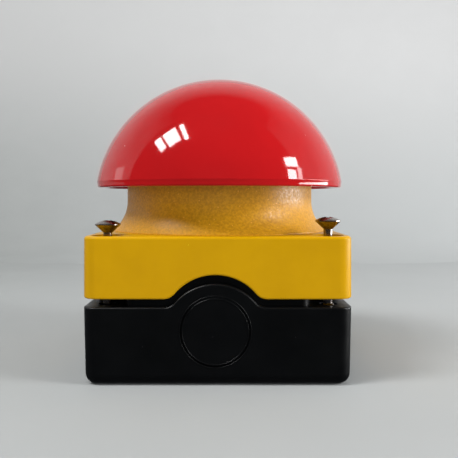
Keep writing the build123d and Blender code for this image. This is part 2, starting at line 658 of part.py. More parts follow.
slider_z = LATCH_SLOT_Z + RUNNING
slider_h = LATCH_SLOT_H - 2 * RUNNING
tip_low = STEM_END_R + SLIDER_GAP + STEM_CONE_SLOPE * (slider_z - STEM_CONE_Z)
tip_high = tip_low + STEM_CONE_SLOPE * slider_h
pocket_z = slider_z + slider_h / 2
for side, sign in (("left", -1), ("right", 1)):
    # The slanted tip lies along the cone, and a pocket behind it holds the spring.
    with BuildPart() as slider:
        with BuildSketch(Plane.XZ):
            with BuildLine():
                Polyline(
                    (sign * tip_low, slider_z),
                    (sign * SLIDER_END, slider_z),
                    (sign * SLIDER_END, slider_z + slider_h),
                    (sign * tip_high, slider_z + slider_h),
                    close=True,
                )
            make_face()
        extrude(amount=LATCH_SLOT_W / 2 - RUNNING, both=True)
        with BuildSketch(Plane(origin=(sign * SLIDER_END, 0, pocket_z), z_dir=(sign, 0, 0))):
            Circle(SLIDER_POCKET_R)
        extrude(amount=-SLIDER_POCKET, mode=Mode.SUBTRACT)
    save(slider.part, f"latch_slider_{side}")

    spring_from = SLIDER_END - SLIDER_POCKET
    latch_spring = coil_spring(
        (sign * spring_from, 0, pocket_z), (sign, 0, 0), LATCH_SLOT_END - spring_from, 1.05, 0.2, 9
    )
    save(latch_spring, f"latch_spring_{side}")

# ---- Guide bush and stem seal ------------------------------------------------------------------
with BuildPart() as guide_bush:
    with BuildSketch(Plane.XY.offset(BUSH_Z)):
        Circle(BUSH_R)
    extrude(amount=COLLAR_TOP_Z - BUSH_Z)
    with BuildSketch(Plane.XY.offset(COLLAR_TOP_Z)):
        Circle(BUSH_FLANGE_R)
    extrude(amount=BUSH_FLANGE)
    chamfer(guide_bush.edges().group_by(Axis.Z)[-1], 0.4)
    with BuildSketch(Plane.XY.offset(BUSH_Z)):
        Circle(STEM_R + RUNNING)
    extrude(amount=COVER_H, mode=Mode.SUBTRACT)
    with BuildSketch(Plane.XY.offset(COLLAR_TOP_Z + BUSH_FLANGE)):
        Circle(SEAL_R)
    extrude(amount=-SEAL_H, mode=Mode.SUBTRACT)
save(guide_bush.part, "guide_bush")

with BuildPart() as stem_seal:
    with BuildSketch(Plane.XY.offset(COLLAR_TOP_Z + BUSH_FLANGE - SEAL_H)):
        Circle(SEAL_R)
        Circle(STEM_R + RUNNING, mode=Mode.SUBTRACT)
    extrude(amount=SEAL_H)
save(stem_seal.part, "stem_seal")

# ---- Return spring -----------------------------------------------------------------------------
return_spring_z = COLLAR_TOP_Z + BUSH_FLANGE
return_spring = coil_spring((0, 0, return_spring_z), (0, 0, 1), DOME_HUB_Z - return_spring_z, 9.0, 0.7, 3)
save(return_spring, "return_spring")

# ---- Stem --------------------------------------------------------------------------------------
# From below: the pusher's seat, the clip groove, the cone, the guided shaft and the threaded top.
stem_bottom_z = PUSHER_Z + PUSHER_H
cone_top_z = STEM_CONE_Z + (STEM_R - STEM_END_R) / STEM_CONE_SLOPE
with BuildPart() as stem:
    with BuildSketch(Plane.XZ):
        with BuildLine():
            Polyline(
                (0, stem_bottom_z),
                (STEM_END_R, stem_bottom_z),
                (STEM_END_R, CLIP_Z),
                (CLIP_GROOVE_R, CLIP_Z),
                (CLIP_GROOVE_R, CLIP_Z + CLIP_H),
                (STEM_END_R, CLIP_Z + CLIP_H),
                (STEM_END_R, STEM_CONE_Z),
                (STEM_R, cone_top_z),
                (STEM_R, STEM_SHOULDER_Z),
                (STEM_END_R, STEM_SHOULDER_Z),
                (STEM_END_R, STEM_THREAD_TOP),
                (0, STEM_THREAD_TOP),
                close=True,
            )
        make_face()
    revolve(axis=Axis.Z)
    chamfer(stem.edges().group_by(Axis.Z)[-1], 0.5)
    with BuildSketch(Plane.XY.offset(stem_bottom_z)):
        Circle(STEM_TAPPED_R)
    extrude(amount=STEM_TAPPED, mode=Mode.SUBTRACT)
save(stem.part, "stem")

with BuildPart() as retaining_clip:
    with BuildSketch(Plane.XY.offset(CLIP_Z)):
        Circle(CLIP_R)
        Circle(CLIP_GROOVE_R, mode=Mode.SUBTRACT)
        with Locations((0, -CLIP_R)):
            Rectangle(5.6, 2 * CLIP_R, mode=Mode.SUBTRACT)
    extrude(amount=CLIP_H)
save(retaining_clip.part, "retaining_clip")

# ---- Pusher ------------------------------------------------------------------------------------
with BuildPart() as pusher_plate:
    with BuildSketch(Plane.XY.offset(PUSHER_Z)):
        SlotOverall(2 * BLOCK_X + PUSHER_W, PUSHER_W)
        Circle(2.05, mode=Mode.SUBTRACT)
    extrude(amount=PUSHER_H)
    fillet(pusher_plate.edges().group_by(Axis.Z)[0].filter_by(lambda e: e.length > 14), 0.6)
    with BuildSketch(Plane.XY.offset(PUSHER_Z + PUSHER_H)):
        Circle(PUSHER_BOSS_R)
        Circle(STEM_END_R, mode=Mode.SUBTRACT)
    extrude(amount=PUSHER_H)
save(pusher_plate.part, "pusher_plate")

pusher_screw = pan_screw(3.4, 2.0, STEM_TAPPED_R, PUSHER_H + 8.0)
with BuildPart() as pusher_screw_placed:
    with Locations(Plane(origin=(0, 0, PUSHER_Z), z_dir=(0, 0, -1))):
        add(pusher_screw)
save(pusher_screw_placed.part, "pusher_screw")

# ---- Dome --------------------------------------------------------------------------------------
# The hollow inside the dome leaves a hub for the insert and six ribs from the hub to the wall.
inner_r = DOME_R - DOME_WALL
mouth_top_z = DOME_CENTRE_Z + math.sqrt(inner_r**2 - DOME_MOUTH_R**2)
inner_top_z = DOME_CENTRE_Z + inner_r
with BuildPart() as dome_hollow:
    with BuildSketch(Plane.XZ):
        with BuildLine():
            Line((0, inner_top_z), (0, DOME_RIM_Z - 1))
            Line((0, DOME_RIM_Z - 1), (DOME_MOUTH_R, DOME_RIM_Z - 1))
            Line((DOME_MOUTH_R, DOME_RIM_Z - 1), (DOME_MOUTH_R, mouth_top_z))
            RadiusArc((DOME_MOUTH_R, mouth_top_z), (0, inner_top_z), -inner_r)
        make_face()
    revolve(axis=Axis.Z)
    with BuildSketch(Plane.XY.offset(DOME_HUB_Z)):
        Circle(DOME_HUB_R)
    extrude(amount=DOME_R, mode=Mode.SUBTRACT)
    with BuildSketch(Plane.XY.offset(DOME_RIB_Z)):
        with PolarLocations(DOME_R / 2, 6):
            Rectangle(DOME_R, DOME_RIB)
    extrude(amount=DOME_R, mode=Mode.SUBTRACT)

edge_r = math.sqrt(DOME_R**2 - (DOME_EDGE_Z - DOME_CENTRE_Z) ** 2)
with BuildPart() as dome:
    with BuildSketch(Plane.XZ):
        with BuildLine():
            Line((0, DOME_CENTRE_Z + DOME_R), (0, DOME_RIM_Z))
            Line((0, DOME_RIM_Z), (DOME_RIM_R, DOME_RIM_Z))
            Line((DOME_RIM_R, DOME_RIM_Z), (edge_r, DOME_EDGE_Z))
            RadiusArc((edge_r, DOME_EDGE_Z), (0, DOME_CENTRE_Z + DOME_R), -DOME_R)
        make_face()
    revolve(axis=Axis.Z)
    fillet(dome.edges().filter_by(GeomType.CIRCLE).group_by(Axis.Z)[0], DOME_RIM_ROUND)
    crisp = dome.edges().filter_by(lambda e: abs(e.center().Z - DOME_EDGE_Z) < 0.01)
    fillet(crisp, DOME_EDGE_ROUND)
    add(dome_hollow.part, mode=Mode.SUBTRACT)
    with BuildSketch(Plane.XY.offset(DOME_HUB_Z)):
        Circle(DOME_INSERT_R)
    extrude(amount=STEM_THREAD_TOP - DOME_HUB_Z + 0.5, mode=Mode.SUBTRACT)
save(dome.part, "dome")

with BuildPart() as dome_insert:
    with BuildSketch(Plane.XY.offset(DOME_HUB_Z)):
        Circle(DOME_INSERT_R)
        Circle(STEM_END_R, mode=Mode.SUBTRACT)
    extrude(amount=STEM_THREAD_TOP - DOME_HUB_Z)
save(dome_insert.part, "dome_insert")

with BuildPart() as lock_nut:
    with BuildSketch(Plane.XY.offset(STEM_SHOULDER_Z)):
        RegularPolygon(LOCK_NUT_AF / 2, 6, major_radius=False)
        Circle(STEM_END_R, mode=Mode.SUBTRACT)
    extrude(amount=DOME_HUB_Z - STEM_SHOULDER_Z)
save(lock_nut.part, "lock_nut")

# ---- Cover screws ------------------------------------------------------------------------------
# One captive screw in each corner: raised countersunk head, waisted shank and a short thread.
for place, (x, y, stand) in SCREW_STANDS.items():
    edge_z = COVER_TOP_Z + stand
    tip_z = edge_z - SCREW_LENGTH
    thread_top = tip_z + SCREW_THREAD
    cone_z = edge_z - (SCREW_HEAD_R - SCREW_SHANK_R)
    thread_root = SCREW_THREAD_R - 0.4
    turns = int(SCREW_THREAD / SCREW_PITCH)
    thread_line = [(0, tip_z), (thread_root - 0.2, tip_z)]
    for turn in range(turns):
        low = tip_z + 0.15 + turn * SCREW_PITCH
        thread_line.append((thread_root, low))
        thread_line.append((SCREW_THREAD_R, low + SCREW_PITCH / 2))
    thread_line.append((thread_root, thread_top))
    with BuildPart() as screw:
        with BuildSketch(Plane.XZ):
            with BuildLine():
                Polyline(
                    *thread_line,
                    (SCREW_SHANK_R, thread_top),
                    (SCREW_SHANK_R, cone_z),
                    (SCREW_HEAD_R, edge_z - 0.15),
                    (SCREW_HEAD_R, edge_z + 0.15),
                )
                ThreePointArc(
                    (SCREW_HEAD_R, edge_z + 0.15),
                    (SCREW_HEAD_R * 0.52, edge_z + 0.15 + SCREW_HEAD_RAISE * 0.74),
                    (0, edge_z + 0.15 + SCREW_HEAD_RAISE),
                )
                Line((0, edge_z + 0.15 + SCREW_HEAD_RAISE), (0, tip_z))
            make_face()
        revolve(axis=Axis.Z)
        # Cross recess, turned a little differently in each screw.
        recess_plane = Plane.XY.offset(edge_z + 0.15 + SCREW_HEAD_RAISE).rotated((0, 0, 17 * stand))
        with BuildSketch(recess_plane):
            Rectangle(4.6, 1.05)
            Rectangle(1.05, 4.6)
        extrude(amount=-2.3, taper=9, mode=Mode.SUBTRACT)
    placed = screw.part.moved(Location((x * SCREW_XY, y * SCREW_XY, 0)))
    save(placed, f"cover_screw_{place}")
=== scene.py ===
# %% [markdown]
# # An emergency stop button in its surface box
#
# The object is a red mushroom button on a yellow collar and a yellow cover, over a black base. Its
# casings are already modelled to size in the frame that this lesson loads, and so are its latch, its
# contacts and its screws. What is left is the look: smooth glossy plastic, a grained collar, bright
# screws, springs wound as real coils, and the light that shows all of it.
#
# The frame comes first, because every piece below has to fit it.

# %% Load the frame
import json
import math

import bmesh
import bpy
from mathutils import Matrix, Vector


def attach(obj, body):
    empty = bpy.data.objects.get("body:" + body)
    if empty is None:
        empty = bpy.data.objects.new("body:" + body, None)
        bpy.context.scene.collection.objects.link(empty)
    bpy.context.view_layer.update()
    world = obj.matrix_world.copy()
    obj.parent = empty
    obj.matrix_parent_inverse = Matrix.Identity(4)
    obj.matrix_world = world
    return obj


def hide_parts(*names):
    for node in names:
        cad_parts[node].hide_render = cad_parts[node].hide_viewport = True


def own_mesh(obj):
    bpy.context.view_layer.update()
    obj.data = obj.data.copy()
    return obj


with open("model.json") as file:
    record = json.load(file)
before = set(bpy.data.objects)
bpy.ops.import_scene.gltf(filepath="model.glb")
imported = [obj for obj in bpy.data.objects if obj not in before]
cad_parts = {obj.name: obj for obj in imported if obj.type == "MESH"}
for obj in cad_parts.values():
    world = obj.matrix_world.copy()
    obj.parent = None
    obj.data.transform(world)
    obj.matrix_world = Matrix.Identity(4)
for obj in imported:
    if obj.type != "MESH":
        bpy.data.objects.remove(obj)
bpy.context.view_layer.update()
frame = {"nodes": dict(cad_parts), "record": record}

MM = 0.001
nodes = frame["nodes"]

# %% [markdown]
# ## Camera
#
# The button is looked at from close by, a little lower than the dome's rim, with the camera level. A
# level camera keeps all upright edges parallel. It could be tipped down to bring the base into the
# frame, but the box would then taper, so the lens is shifted down instead, as a view camera does.

# %% Camera
camera_data = bpy.data.cameras.new("view")
camera_data.lens = 44.8
camera_data.sensor_width = 36.0
camera_data.shift_y = -0.0686
camera_data.clip_start = 0.01
camera_data.clip_end = 20.0
camera = bpy.data.objects.new("view", camera_data)
camera.location = (3.67 * MM, -224.4 * MM, 60.1 * MM)
camera.rotation_euler = (math.radians(90), 0, 0)
bpy.context.scene.collection.objects.link(camera)
bpy.context.scene.camera = camera
print("camera stands", round(camera.location.length, 3), "m from the foot of the box")

# %% [markdown]
# ## Floor and backdrop
#
# A glossy red dome is mostly a mirror near its outline. What it mirrors there is the pale paper behind
# it, so the paper has to be a real surface and not only a background colour. One sheet lies flat, turns
# up in a wide bend and wraps round both sides. Where its top and its sides end, the dome shows the
# soft edge that separates its pale outer band from its deep red middle. The sheet could be a plane bent
# by a modifier. Lofting a bent profile along a U-shaped plan takes fewer steps and keeps both as numbers.
# The floor is hidden from mirrors, so that it doesn't turn the black base grey.

# %% Shape helpers
def new_object(name, mesh):
    """Links a new object that shows a mesh."""
    obj = bpy.data.objects.new(name, mesh)
    bpy.context.scene.collection.objects.link(obj)
    return obj


def arc(centre, radius, start, end, steps):
    """Points on an arc, with angles in degrees from the first axis towards the second."""
    points = []
    for i in range(steps + 1):
        angle = math.radians(start + (end - start) * i / steps)
        points.append((centre[0] + radius * math.cos(angle), centre[1] + radius * math.sin(angle)))
    return points


def mesh_of(shape, name):
    """Turns a finished bmesh into a smooth mesh and frees it."""
    bmesh.ops.recalc_face_normals(shape, faces=shape.faces)
    mesh = bpy.data.meshes.new(name)
    shape.to_mesh(mesh)
    shape.free()
    mesh.shade_smooth()
    return mesh


print("helpers ready: new_object, arc, mesh_of")

# %% Backdrop sheet
SHEET_BACK_Y = 0.62
SHEET_HALF_WIDTH = 1.0
SHEET_CORNER = 0.5
SHEET_BEND = 0.46
SHEET_HEIGHT = 1.78
SHEET_LEFT_END_Y = -0.05
SHEET_RIGHT_END_Y = -0.24
FLOOR_HALF = 3.0


def backdrop_mesh():
    """The sheet's footprint is a U that opens towards the camera, with rounded rear corners."""
    corner_y = SHEET_BACK_Y - SHEET_CORNER
    corner_x = SHEET_HALF_WIDTH - SHEET_CORNER
    plan = [(-SHEET_HALF_WIDTH, SHEET_LEFT_END_Y)]
    plan += arc((-corner_x, corner_y), SHEET_CORNER, 180, 90, 8)
    plan += arc((corner_x, corner_y), SHEET_CORNER, 90, 0, 8)
    plan += [(SHEET_HALF_WIDTH, SHEET_RIGHT_END_Y)]
    profile = arc((0, SHEET_BEND), SHEET_BEND, -90, 0, 12) + [(SHEET_BEND, SHEET_HEIGHT)]
    sheet = bmesh.new()
    rings = []
    for out, up in profile:
        ring = []
        for x, y in plan:
            inward = Vector((x, y - corner_y, 0)).normalized() * (SHEET_BEND - out)
            ring.append(sheet.verts.new((x - inward.x, y - inward.y, up)))
        rings.append(ring)
    for low, high in zip(rings, rings[1:]):
        for i in range(len(plan) - 1):
            sheet.faces.new((low[i], low[i + 1], high[i + 1], high[i]))
    return mesh_of(sheet, "backdrop")


backdrop = new_object("backdrop", backdrop_mesh())
floor_mesh = bpy.data.meshes.new("floor")
floor_corners = [(x * FLOOR_HALF, y * FLOOR_HALF, 0) for x, y in ((-1, -1), (1, -1), (1, 1), (-1, 1))]
floor_mesh.from_pydata(floor_corners, [], [(0, 1, 2, 3)])
floor = new_object("floor", floor_mesh)
floor.visible_glossy = False
print("backdrop has", len(backdrop.data.polygons), "faces")

# %% [markdown]
# ## Material helpers
#
# Every finish here is made of the same few steps: take the object's own coordinates, feed a noise,
# and let it move the colour, the roughness or the surface a little. Object coordinates are in metres,
# so a grain size in millimetres can be written down directly, and the grain stays on the surface when
# a joint moves it. Texture images could do this too, but a procedure stays sharp at any distance.

# %% Node helpers
def new_material(name):
    """A material with its shader, ready for more nodes."""
    material = bpy.data.materials.new(name)
    material.use_nodes = True
    return material, material.node_tree, material.node_tree.nodes["Principled BSDF"]


def node(tree, kind, **settings):
    """Adds one node. Settings with a capital letter are sockets, the others are properties."""
    made = tree.nodes.new(kind)
    for key, value in settings.items():
        if key[0].isupper():
            made.inputs[key.replace("_", " ")].default_value = value
        else:
            setattr(made, key, value)
    return made


print("helpers ready: new_material, node")

# %% Noise, ramp and bump
def own_coordinates(tree, stretch=(1, 1, 1)):
    """The object's own coordinates, in metres, stretched where a finish has a direction."""
    place = node(tree, "ShaderNodeTexCoord")
    mapping = node(tree, "ShaderNodeMapping", Scale=stretch)
    tree.links.new(place.outputs["Object"], mapping.inputs["Vector"])
    return mapping.outputs["Vector"]


def noise(tree, size_mm, detail=3.0, stretch=(1, 1, 1)):
    """A noise whose features are about size_mm across."""
    made = node(tree, "ShaderNodeTexNoise", Scale=1000.0 / size_mm, Detail=detail, Roughness=0.55)
    tree.links.new(own_coordinates(tree, stretch), made.inputs["Vector"])
    return made.outputs["Fac"]


def ramp(tree, source, low, high, at=(0.35, 0.65)):
    """Turns a grey value into two colours, or into two greys where low and high are numbers."""
    made = node(tree, "ShaderNodeValToRGB")
    for stop, value, place in zip(made.color_ramp.elements, (low, high), at):
        stop.position = place
        stop.color = (value, value, value, 1) if isinstance(value, float) else (*value, 1)
    tree.links.new(source, made.inputs["Fac"])
    return made.outputs["Color"]


def bump(tree, shader, height, depth_mm, strength=1.0, under=None):
    """Raises the surface by a grey value, on top of another bump where one is given."""
    made = node(tree, "ShaderNodeBump", Strength=strength, Distance=depth_mm * MM)
    tree.links.new(height, made.inputs["Height"])
    if under is not None:
        tree.links.new(under, made.inputs["Normal"])
    tree.links.new(made.outputs["Normal"], shader.inputs["Normal"])
    return made.outputs["Normal"]


print("helpers ready: own_coordinates, noise, ramp, bump")

# %% Specks and blends
def specks(tree, spacing_mm, radius_mm, share):
    """A mask of dots about spacing_mm apart, in a share of the cells."""
    cells = node(tree, "ShaderNodeTexVoronoi", Scale=1000.0 / spacing_mm)
    tree.links.new(own_coordinates(tree), cells.inputs["Vector"])
    near = node(tree, "ShaderNodeMath", operation="LESS_THAN")
    near.inputs[1].default_value = radius_mm / spacing_mm
    tree.links.new(cells.outputs["Distance"], near.inputs[0])
    chosen = node(tree, "ShaderNodeMath", operation="LESS_THAN")
    chosen.inputs[1].default_value = share
    tree.links.new(cells.outputs["Color"], chosen.inputs[0])
    both = node(tree, "ShaderNodeMath", operation="MULTIPLY")
    tree.links.new(near.outputs[0], both.inputs[0])
    tree.links.new(chosen.outputs[0], both.inputs[1])
    return both.outputs[0]


def mix_colours(tree, share, first, second):
    """Blends two colours, or two colour outputs, by a share between 0 and 1."""
    made = node(tree, "ShaderNodeMix", data_type="RGBA")
    tree.links.new(share, made.inputs["Factor"])
    for socket, value in ((made.inputs[6], first), (made.inputs[7], second)):
        if isinstance(value, tuple):
            socket.default_value = (*value, 1)
        else:
            tree.links.new(value, socket)
    return made.outputs[2]


print("helpers ready: specks, mix_colours")

# %% [markdown]
# ## Paper
#
# The paper is matt and pale grey. Painted shade makes it a little darker where it lies flat, and a painted
# shadow darkens it at the left, which is further from the bright side of the room. A smooth step over the
# height and a soft ball of shade paint that.
# Floor and backdrop share the finish and the coordinates, so no seam shows where one rises from the other.

# %% Paper
def paper_material(flat, upright, blend_height, painted_shadow_tone, centre, reach):
    """Matt paper: a painted flat shade blends into the upright tone, and a painted shadow darkens both round
    one place.
    """
    material, tree, shader = new_material("pale_paper")
    place = node(tree, "ShaderNodeTexCoord")
    parts = node(tree, "ShaderNodeSeparateXYZ")
    tree.links.new(place.outputs["Object"], parts.inputs["Vector"])
    # Painted shade: the flat paper is a darker copy of the upright tone, blended in over the height.
    height = node(tree, "ShaderNodeMapRange", interpolation_type="SMOOTHSTEP", From_Max=blend_height)
    tree.links.new(parts.outputs["Z"], height.inputs["Value"])
    tone = mix_colours(tree, height.outputs["Result"], flat, upright)
    # Painted shadow: a soft ball of darker tone at the left.
    mapping = node(tree, "ShaderNodeMapping", vector_type="TEXTURE", Location=centre, Scale=[reach] * 3)
    tree.links.new(place.outputs["Object"], mapping.inputs["Vector"])
    painted_shadow_ball = node(tree, "ShaderNodeTexGradient", gradient_type="QUADRATIC_SPHERE")
    tree.links.new(mapping.outputs["Vector"], painted_shadow_ball.inputs["Vector"])
    tone = mix_colours(tree, painted_shadow_ball.outputs["Fac"], tone, painted_shadow_tone)
    cloudy = ramp(tree, noise(tree, 45.0, 5.0), 0.0, 0.10)
    tone = mix_colours(tree, cloudy, tone, tuple(0.8 * c for c in upright))
    tree.links.new(tone, shader.inputs["Base Color"])
    shader.inputs["Roughness"].default_value = 0.9
    shader.inputs["Specular IOR Level"].default_value = 0.1
    return material


paper = paper_material(
    flat=(0.43, 0.445, 0.445), upright=(0.61, 0.61, 0.61), blend_height=0.30,
    painted_shadow_tone=(0.25, 0.26, 0.25), centre=(-0.42, 0.30, 0.03), reach=0.85,
)
for sheet in (backdrop, floor):
    sheet.data.materials.append(paper)
print("paper on", backdrop.name, "and", floor.name)

# %% [markdown]
# ## Light
#
# The room has two windows. On the dome they show as bright panes with dark glazing bars between them:
# three panes high on the left and three lower on the right. One big lamp with a barred texture could do
# this, but each pane is its own area light here, so that the bars are real gaps and each pane can lean
# as it does in a curved mirror. A low bright wall on the right lights that flank of the collar.

# %% Lamp helpers
def lamp_turn(centre, target, upright):
    """Points a lamp's -Z at a target and leans its Y axis along a direction."""
    back = (Vector(centre) - Vector(target)).normalized()
    up = Vector(upright) - back * back.dot(Vector(upright))
    up.normalize()
    across = up.cross(back)
    turn = Matrix((across, up, back)).transposed().to_4x4()
    turn.translation = centre
    return turn


def area_lamp(name, centre, target, upright, width, height, watts, colour=(1, 1, 1)):
    """A rectangular lamp. Its height runs along the upright direction."""
    data = bpy.data.lights.new(name, "AREA")
    data.shape = "RECTANGLE"
    data.size = width
    data.size_y = height
    data.energy = watts
    data.color = colour
    lamp = bpy.data.objects.new(name, data)
    bpy.context.scene.collection.objects.link(lamp)
    lamp.matrix_world = lamp_turn(centre, target, upright)
    return lamp


def window_pane(name, bearing, rise, upright, width, height, radiance, lights=True, away=1.0):
    """A pane that the dome sees at a bearing from +X round Z and a rise, both in degrees."""
    level = math.cos(math.radians(rise))
    turn = math.radians(bearing)
    towards = Vector((level * math.cos(turn), level * math.sin(turn), math.sin(math.radians(rise))))
    watts = radiance * math.pi * width * height
    lamp = area_lamp(name, dome_centre + towards * away, dome_centre, upright, width, height, watts)
    lamp.visible_diffuse = lights
    return lamp


def soft_lamp(name, centre, target, width, height, watts, colour=(1, 1, 1)):
    """A broad lamp that lights surfaces but doesn't show in mirrors."""
    lamp = area_lamp(name, Vector(centre), target, (0, 0.3, 1), width, height, watts, colour)
    lamp.visible_glossy = False
    return lamp


DOME_CENTRE_Z = 57.8
dome_centre = Vector((0, 0, DOME_CENTRE_Z * MM))
print("the dome's curve is centred", DOME_CENTRE_Z, "mm up")

# %% Window panes
lean_left = (0.115, -0.956, -0.270)
lean_right = (0.30, -0.38, -0.87)
window_pane("left_pane_1", 200.3, 43.2, lean_left, 0.088, 0.234, radiance=24.0)
window_pane("left_pane_2", 206.9, 51.3, lean_left, 0.170, 0.270, radiance=24.0)
window_pane("left_pane_3", 216.6, 58.6, lean_left, 0.052, 0.304, radiance=28.0)
window_pane("left_far_pane", 166.7, 16.0, (-0.2, 0.3, 0.9), 0.20, 0.12, radiance=1.2, lights=False)
window_pane("right_pane_1", -16.2, 29.3, (0.41, -0.33, -0.85), 0.220, 0.118, radiance=22.0)
window_pane("right_pane_2", -19.9, 21.2, lean_right, 0.150, 0.104, radiance=20.0)
window_pane("right_pane_3", -10.7, 20.8, lean_right, 0.077, 0.120, radiance=9.0)
window_pane("right_wall", 2.9, 0.0, (0, 0, 1), 0.40, 0.10, radiance=12.0, away=0.55)

# %% [markdown]
# Broad soft lamps that mirrors don't see fill the rest, because a real room is bright all round. The dim
# grey world keeps the middle of the dome deep red. The standard view transform leaves the plastic's
# colours as they are, where a filmic one would make them paler.

# %% Soft lamps and world
soft_lamp("key", (0.95, -0.35, 0.45), dome_centre, 0.4, 0.4, 4.2)
soft_lamp("front", (-0.05, -1.3, 0.40), dome_centre, 0.9, 0.7, 4.3, (0.97, 0.99, 1.0))
soft_lamp("top", (0.1, -0.1, 1.5), dome_centre, 1.2, 1.0, 2.2)
soft_lamp("paper", (-0.20, -0.35, 1.2), (0.10, 0.55, 0.10), 0.8, 0.6, 2.7, (0.99, 1.0, 1.0))
world = bpy.data.worlds.new("room")
world.use_nodes = True
world.node_tree.nodes["Background"].inputs["Color"].default_value = (0.86, 0.93, 1.0, 1)
world.node_tree.nodes["Background"].inputs["Strength"].default_value = 0.05
bpy.context.scene.world = world
bpy.context.scene.view_settings.view_transform = "Standard"

# %% [markdown]
# ## Red dome plastic
#
# The dome is moulded in red plastic and polished, so its colour comes from the body of the plastic and
# its highlights from the surface. A plain colour with a low roughness would look computed. So a slow ripple,
# a few hundredths of a millimetre deep, bends the mirrored windows as real moulded plastic does, fine wipe
# marks change the gloss, and a little dust has settled on it.

# %% Red dome plastic
DUST_ON_RED = (0.85, 0.62, 0.58)


def polished_plastic(name, colour, roughness, dust):
    """Mirror-like moulded plastic with ripples, wipe marks and settled dust."""
    material, tree, shader = new_material(name)
    deep = tuple(0.93 * c for c in colour)
    tone = ramp(tree, noise(tree, 18.0), deep, colour)
    tone = mix_colours(tree, specks(tree, 5.0, 0.26, dust), tone, DUST_ON_RED)
    tree.links.new(tone, shader.inputs["Base Color"])
    wiped = noise(tree, 2.2, 4.0, (1, 1, 7))
    tree.links.new(ramp(tree, wiped, roughness, roughness + 0.05), shader.inputs["Roughness"])
    ripple = bump(tree, shader, noise(tree, 9.0, 1.0), 0.03, 0.35)
    bump(tree, shader, noise(tree, 0.6, 2.0), 0.002, 0.25, ripple)
    shader.inputs["IOR"].default_value = 1.5
    return material


red_plastic = polished_plastic("red_plastic", (0.49, 0.0082, 0.0100), roughness=0.035, dust=0.34)
print("made", red_plastic.name)

# %% [markdown]
# ## Yellow and black casing plastic
#
# The cover and the base come from polished moulds that have gone a little dull, so they are satin: one
# noise for a faint unevenness of tone, one for the gloss, and a fine skin of bumps. One function makes
# both, because only the colour and the amounts differ.

# %% Casing plastic
def satin_plastic(name, colour, darker, roughness, skin_mm, skin_depth_mm, dust=0.0, shine=0.5):
    """Moulded plastic whose skin has bumps about skin_mm across, with dust on a share of it."""
    material, tree, shader = new_material(name)
    tone = ramp(tree, noise(tree, 14.0, 4.0), darker, colour)
    if dust:
        dusty = tuple(min(1.0, 3 * c + 0.10) for c in colour)
        tone = mix_colours(tree, specks(tree, 3.1, 0.10, dust), tone, dusty)
    tree.links.new(tone, shader.inputs["Base Color"])
    tree.links.new(ramp(tree, noise(tree, 5.0, 4.0), roughness, roughness + 0.08), shader.inputs["Roughness"])
    waves = bump(tree, shader, noise(tree, 12.0, 1.0), 0.02, 0.3)
    bump(tree, shader, noise(tree, skin_mm, 2.0), skin_depth_mm, 0.4, waves)
    shader.inputs["Specular IOR Level"].default_value = shine
    return material


yellow_plastic = satin_plastic(
    "yellow_plastic", (0.66, 0.350, 0.0), (0.62, 0.325, 0.0),
    roughness=0.30, skin_mm=0.5, skin_depth_mm=0.006, dust=0.05, shine=0.16,
)
black_plastic = satin_plastic(
    "black_plastic", (0.0024, 0.0027, 0.0031), (0.0014, 0.0016, 0.0019),
    roughness=0.34, skin_mm=0.7, skin_depth_mm=0.012, dust=0.2, shine=0.36,
)
print("made", yellow_plastic.name, "and", black_plastic.name)

# %% [markdown]
# ## Grained collar plastic
#
# The collar's mould was spark eroded, which leaves a fine pitted grain. Each pit catches the window in a
# slightly different direction, so the highlight breaks up into sparkle. Modelling the pits would take
# millions of faces, so two sizes of pit are two bumps, one over the other. The colour adds painted shade
# in the pits, mixed into the grain's own tone, and painted glints on some of their rims, because it can be
# seen from further away.

# %% Grained collar plastic
def grained_plastic(name, colour, darker, roughness):
    """Spark-eroded plastic: grain tone with painted pit shade, painted glints, uneven gloss and two sizes of
    pit.
    """
    material, tree, shader = new_material(name)
    # The grain's own tone, mixed with painted shade in the pits.
    grain_and_pit_shade = ramp(tree, noise(tree, 0.8, 3.0), darker, colour)
    # Painted highlight: pale glints on specks of the grain.
    painted_glint = tuple(min(1.0, 1.1 * c + 0.05) for c in colour)
    tone = mix_colours(tree, specks(tree, 0.9, 0.22, 0.22), grain_and_pit_shade, painted_glint)
    tree.links.new(tone, shader.inputs["Base Color"])
    gloss = ramp(tree, noise(tree, 0.9), roughness - 0.12, roughness + 0.12)
    tree.links.new(gloss, shader.inputs["Roughness"])
    coarse = bump(tree, shader, noise(tree, 0.75, 3.0), 0.06, 0.8)
    bump(tree, shader, noise(tree, 0.28, 2.0), 0.02, 0.6, coarse)
    return material


grained_yellow = grained_plastic("grained_yellow", (0.72, 0.355, 0.012), (0.54, 0.245, 0.006), roughness=0.42)
print("made", grained_yellow.name)

# %% [markdown]
# ## Metals
#
# Screws, terminals and springs are small. A mirror-smooth metal on them would look like wet paint, so all
# four metals share one recipe with some wear: a metallic shader, a colour that wanders where the plating
# is thin or grimy, and fine marks along one axis from turning or drawing.

# %% Metals
def worked_metal(name, colour, darker, roughness):
    """Turned or drawn metal with uneven plating."""
    material, tree, shader = new_material(name)
    shader.inputs["Metallic"].default_value = 1.0
    tree.links.new(ramp(tree, noise(tree, 2.0, 4.0), darker, colour), shader.inputs["Base Color"])
    marks = noise(tree, 0.4, 3.0, (1, 1, 6))
    tree.links.new(ramp(tree, marks, roughness, roughness + 0.14), shader.inputs["Roughness"])
    bump(tree, shader, marks, 0.004, 0.35)
    return material


